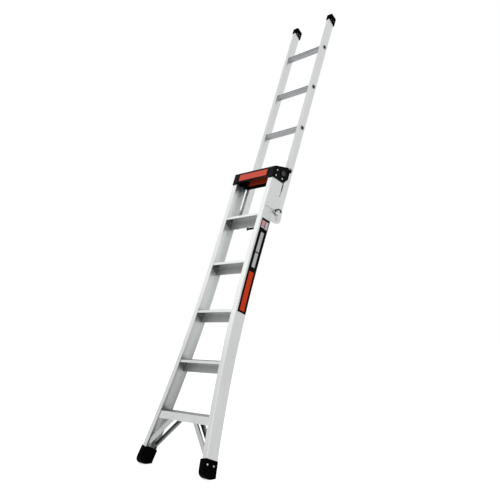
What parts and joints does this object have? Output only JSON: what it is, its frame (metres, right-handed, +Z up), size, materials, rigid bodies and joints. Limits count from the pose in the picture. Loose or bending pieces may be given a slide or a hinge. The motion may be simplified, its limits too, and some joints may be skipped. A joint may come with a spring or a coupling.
{
  "type": "combination ladder",
  "caption": "Aluminium combination ladder with flared front rails, level steps, a rear section that swings up as an extension, hinge locks, a turning head pad and rubber feet.",
  "frame": {"origin": "on the floor, under the middle of the bounding box", "axes": "+X to the right seen from the climbing side, +Y away from the climber towards the wall, +Z up"},
  "size_m": [0.6402, 1.1736, 2.8264],
  "materials": {
    "aluminium": "extruded, satin",
    "tread_aluminium": "extruded, ribbed tread",
    "rung_aluminium": "extruded, grooved",
    "steel": "zinc plated",
    "rubber": "moulded, matt",
    "black_plastic": "moulded, fine grain",
    "orange_plastic": "moulded, satin",
    "strip": "printed film with plain colour blocks"
  },
  "bodies": {
    "front_section": {"front_rail_left": "aluminium", "front_rail_right": "aluminium", "step_1": "tread_aluminium", "step_2": "tread_aluminium", "step_3": "tread_aluminium", "step_4": "tread_aluminium", "step_5": "tread_aluminium", "step_rivets": "steel", "boot_left": "rubber", "boot_right": "rubber", "boot_rivets": "steel", "knee_brace_front_left": "aluminium", "knee_brace_front_right": "aluminium", "knee_brace_rear_left": "aluminium", "knee_brace_rear_right": "aluminium", "brace_rivets": "steel", "side_strip": "strip", "hinge_plate_left": "aluminium", "hinge_plate_right": "aluminium", "plate_rivets": "steel", "pivot_bolt_left": "steel", "pivot_bolt_right": "steel", "pivot_washers": "steel", "pivot_spacers": "black_plastic", "pivot_nuts": "steel", "rest_block_left": "black_plastic", "rest_block_right": "black_plastic", "block_screws": "steel", "lock_guide_left": "black_plastic", "lock_guide_right": "black_plastic", "head_bracket_left": "black_plastic", "head_bracket_right": "black_plastic", "bracket_screws": "steel", "catch_bracket": "black_plastic", "catch_rivets": "steel", "catch_pin": "steel"},
    "rear_section": {"rear_rail_left": "aluminium", "rear_rail_right": "aluminium", "rung_1": "rung_aluminium", "rung_2": "rung_aluminium", "rung_3": "rung_aluminium", "rung_4": "rung_aluminium", "rung_5": "rung_aluminium", "lock_disc_left": "steel", "lock_disc_right": "steel", "disc_rivets": "steel", "rear_foot_left": "rubber", "rear_foot_right": "rubber", "foot_rivets": "steel"},
    "wall_pad": {"pad_shell": "black_plastic", "pad_band": "orange_plastic", "pad_liner": "orange_plastic", "pad_pin_left": "black_plastic", "pad_pin_right": "black_plastic"},
    "lock_left": {"lock_pin_left": "steel", "lock_pull_left": "black_plastic"},
    "lock_right": {"lock_pin_right": "steel", "lock_pull_right": "black_plastic"},
    "catch": {"storage_catch": "black_plastic"}
  },
  "joints": [
    {"name": "fold", "type": "hinge", "parent": "front_section", "child": "rear_section", "pos_m": [0, 0.04097, 1.41326], "axis": [-1, 0, 0], "range_deg": [0, 180]},
    {"name": "pad_turn", "type": "hinge", "parent": "front_section", "child": "wall_pad", "pos_m": [0, 0.08834, 1.68973], "axis": [1, 0, 0], "range_deg": [0, 90]},
    {"name": "lock_left_slide", "type": "slide", "parent": "front_section", "child": "lock_left", "axis": [1, 0, 0], "range_m": [0, 0.008]},
    {"name": "lock_right_slide", "type": "slide", "parent": "front_section", "child": "lock_right", "axis": [-1, 0, 0], "range_m": [0, 0.008]},
    {"name": "catch_swing", "type": "hinge", "parent": "front_section", "child": "catch", "pos_m": [0, -0.01052, 1.36549], "axis": [1, 0, 0], "range_deg": [0, 17]}
  ]
}
